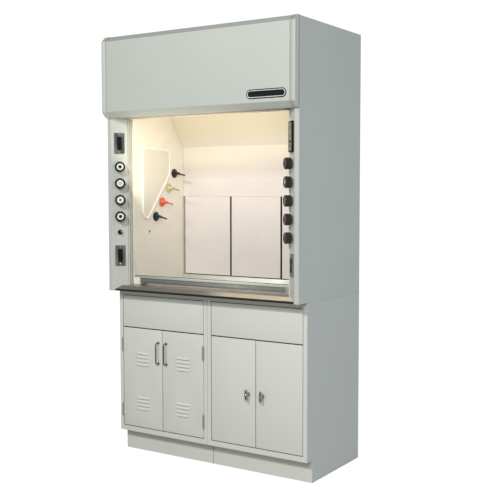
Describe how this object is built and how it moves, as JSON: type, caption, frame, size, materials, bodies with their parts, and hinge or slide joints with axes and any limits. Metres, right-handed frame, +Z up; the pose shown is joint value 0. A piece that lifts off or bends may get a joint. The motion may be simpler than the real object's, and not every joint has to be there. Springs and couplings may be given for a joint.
{
  "type": "fume hood",
  "caption": "Floor-standing bench fume hood: base cabinets with hinged doors, stainless work surface, lined chamber with baffles and a telescoping sash.",
  "frame": {"origin": "centre of the footprint, on the floor", "axes": "+Z up, +X to the right of a person facing the hood, +Y towards the back; the front faces -Y"},
  "size_m": [1.2192, 0.7112, 2.3188],
  "materials": {
    "baffle_board": "smooth off-white fibre board, matt",
    "liner_board": "smooth off-white fibre board, slightly satin",
    "access_cover": "off-white board cover with a pale moulded edge",
    "cabinet_paint": "pale warm grey powder coat, fine texture",
    "door_paint": "pale warm grey powder coat, fine texture",
    "pull_steel": "satin stainless bar",
    "handle_chrome": "bright chrome",
    "panel_paint": "pale grey-green powder coat",
    "front_paint": "pale grey-green powder coat",
    "track_vinyl": "pale grey extruded vinyl guide",
    "sash_glass": "clear laminated safety glass",
    "sash_rail_steel": "pale grey painted steel rail",
    "counterweight_iron": "black painted cast bar",
    "shaft_steel": "zinc plated steel",
    "collar_steel": "plain stainless sheet",
    "stainless": "brushed stainless, satin",
    "knob_plastic": "black moulded plastic",
    "switch_plastic": "black moulded plastic",
    "outlet_plate": "satin stainless plate with a black receptacle face",
    "monitor_plastic": "dark moulded plastic with a pale display strip",
    "lamp_tray": "white enamel",
    "lamp_lens": "frosted glass, lit from above",
    "gas_outlet_black": "brown-black epoxy coating on brass",
    "gas_outlet_yellow": "yellow epoxy coating on brass",
    "gas_outlet_red": "orange-red epoxy coating on brass",
    "gas_outlet_blue": "dark blue epoxy coating on brass"
  },
  "bodies": {
    "hood": {"access_cover": "access_cover", "airflow_monitor": "monitor_plastic", "airfoil_sill": "stainless", "apron_left": "door_paint", "apron_right": "door_paint", "baffle_lower_left": "baffle_board", "baffle_lower_middle": "baffle_board", "baffle_lower_right": "baffle_board", "baffle_upper": "baffle_board", "cabinet_left": "cabinet_paint", "cabinet_right": "cabinet_paint", "corner_post_left": "front_paint", "corner_post_right": "front_paint", "exhaust_collar": "collar_steel", "fascia_end_left": "front_paint", "fascia_end_right": "front_paint", "fascia_panel": "front_paint", "gas_outlet_black": "gas_outlet_black", "gas_outlet_blue": "gas_outlet_blue", "gas_outlet_red": "gas_outlet_red", "gas_outlet_yellow": "gas_outlet_yellow", "lamp_housing": "lamp_tray", "lamp_lens": "lamp_lens", "liner_ceiling": "liner_board", "liner_side_left": "liner_board", "liner_side_right": "liner_board", "power_outlet_left_lower": "outlet_plate", "power_outlet_left_upper": "outlet_plate", "power_outlet_right_lower": "outlet_plate", "rear_panel": "panel_paint", "roof_panel": "panel_paint", "sash_track_left": "track_vinyl", "sash_track_right": "track_vinyl", "side_panel_left": "panel_paint", "side_panel_right": "panel_paint", "work_surface": "stainless"},
    "sash_lower": {"sash_lower_glass": "sash_glass", "sash_lower_rail": "sash_rail_steel"},
    "sash_upper": {"sash_upper_glass": "sash_glass", "sash_upper_rail": "sash_rail_steel"},
    "counterweight": {"sash_counterweight": "counterweight_iron"},
    "drive_shaft": {"sash_drive_shaft": "shaft_steel"},
    "light_switch": {"light_switch": "switch_plastic"},
    "door_1": {"door_1": "door_paint", "door_1_pull": "pull_steel"},
    "door_2": {"door_2": "door_paint", "door_2_pull": "pull_steel"},
    "door_3": {"door_3": "door_paint"},
    "door_4": {"door_4": "door_paint"},
    "handle_3": {"door_3_handle": "handle_chrome"},
    "handle_4": {"door_4_handle": "handle_chrome"},
    "knob_left_1": {"valve_knob_left_1": "knob_plastic"},
    "knob_left_2": {"valve_knob_left_2": "knob_plastic"},
    "knob_left_3": {"valve_knob_left_3": "knob_plastic"},
    "knob_left_4": {"valve_knob_left_4": "knob_plastic"},
    "knob_right_1": {"valve_knob_right_1": "knob_plastic"},
    "knob_right_2": {"valve_knob_right_2": "knob_plastic"},
    "knob_right_3": {"valve_knob_right_3": "knob_plastic"},
    "knob_right_4": {"valve_knob_right_4": "knob_plastic"},
    "knob_right_5": {"valve_knob_right_5": "knob_plastic"}
  },
  "joints": [
    {"name": "sash_lower_slide", "type": "slide", "parent": "hood", "child": "sash_lower", "axis": [0, 0, -1], "range_m": [0, 0.864]},
    {"name": "sash_upper_slide", "type": "slide", "parent": "hood", "child": "sash_upper", "axis": [0, 0, -1], "range_m": [0, 0.432]},
    {"name": "counterweight_slide", "type": "slide", "parent": "hood", "child": "counterweight", "axis": [0, 0, 1], "range_m": [0, 0.864]},
    {"name": "drive_shaft_turn", "type": "hinge", "parent": "hood", "child": "drive_shaft", "pos_m": [0, -0.15, 2.215], "axis": [1, 0, 0], "range_deg": [0, 1602]},
    {"name": "knob_left_1_turn", "type": "hinge", "parent": "hood", "child": "knob_left_1", "pos_m": [-0.55313, -0.28293, 1.613], "axis": [0.7071, -0.7071, 0], "range_deg": [0, 540]},
    {"name": "knob_left_2_turn", "type": "hinge", "parent": "hood", "child": "knob_left_2", "pos_m": [-0.55313, -0.28293, 1.5218], "axis": [0.7071, -0.7071, 0], "range_deg": [0, 540]},
    {"name": "knob_left_3_turn", "type": "hinge", "parent": "hood", "child": "knob_left_3", "pos_m": [-0.55313, -0.28293, 1.4306], "axis": [0.7071, -0.7071, 0], "range_deg": [0, 540]},
    {"name": "knob_left_4_turn", "type": "hinge", "parent": "hood", "child": "knob_left_4", "pos_m": [-0.55313, -0.28293, 1.3394], "axis": [0.7071, -0.7071, 0], "range_deg": [0, 540]},
    {"name": "knob_right_1_turn", "type": "hinge", "parent": "hood", "child": "knob_right_1", "pos_m": [0.55313, -0.28293, 1.613], "axis": [-0.7071, -0.7071, 0], "range_deg": [0, 540]},
    {"name": "knob_right_2_turn", "type": "hinge", "parent": "hood", "child": "knob_right_2", "pos_m": [0.55313, -0.28293, 1.5218], "axis": [-0.7071, -0.7071, 0], "range_deg": [0, 540]},
    {"name": "knob_right_3_turn", "type": "hinge", "parent": "hood", "child": "knob_right_3", "pos_m": [0.55313, -0.28293, 1.4306], "axis": [-0.7071, -0.7071, 0], "range_deg": [0, 540]},
    {"name": "knob_right_4_turn", "type": "hinge", "parent": "hood", "child": "knob_right_4", "pos_m": [0.55313, -0.28293, 1.3394], "axis": [-0.7071, -0.7071, 0], "range_deg": [0, 540]},
    {"name": "knob_right_5_turn", "type": "hinge", "parent": "hood", "child": "knob_right_5", "pos_m": [0.55313, -0.28293, 1.2482], "axis": [-0.7071, -0.7071, 0], "range_deg": [0, 540]},
    {"name": "light_switch_turn", "type": "hinge", "parent": "hood", "child": "light_switch", "pos_m": [-0.55313, -0.28293, 1.2512], "axis": [0.7071, -0.7071, 0], "range_deg": [0, 90]},
    {"name": "door_1_hinge", "type": "hinge", "parent": "hood", "child": "door_1", "pos_m": [-0.5856, -0.2326, 0.42925], "axis": [0, 0, -1], "range_deg": [0, 110]},
    {"name": "door_2_hinge", "type": "hinge", "parent": "hood", "child": "door_2", "pos_m": [-0.0246, -0.2326, 0.42925], "axis": [0, 0, 1], "range_deg": [0, 90]},
    {"name": "door_3_hinge", "type": "hinge", "parent": "hood", "child": "door_3", "pos_m": [0.0246, -0.228, 0.42925], "axis": [0, 0, -1], "range_deg": [0, 90]},
    {"name": "door_4_hinge", "type": "hinge", "parent": "hood", "child": "door_4", "pos_m": [0.5856, -0.228, 0.42925], "axis": [0, 0, 1], "range_deg": [0, 110]},
    {"name": "handle_3_turn", "type": "hinge", "parent": "door_3", "child": "handle_3", "pos_m": [0.2611, -0.2273, 0.425], "axis": [0, 1, 0], "range_deg": [0, 90]},
    {"name": "handle_4_turn", "type": "hinge", "parent": "door_4", "child": "handle_4", "pos_m": [0.3491, -0.2273, 0.425], "axis": [0, -1, 0], "range_deg": [0, 90]}
  ],
  "couplings": [
    {"joint": "sash_upper_slide", "follows": "sash_lower_slide", "ratio": 0.5},
    {"joint": "counterweight_slide", "follows": "sash_lower_slide", "ratio": 1},
    {"joint": "drive_shaft_turn", "follows": "sash_lower_slide", "rad_per_m": 32.258}
  ]
}
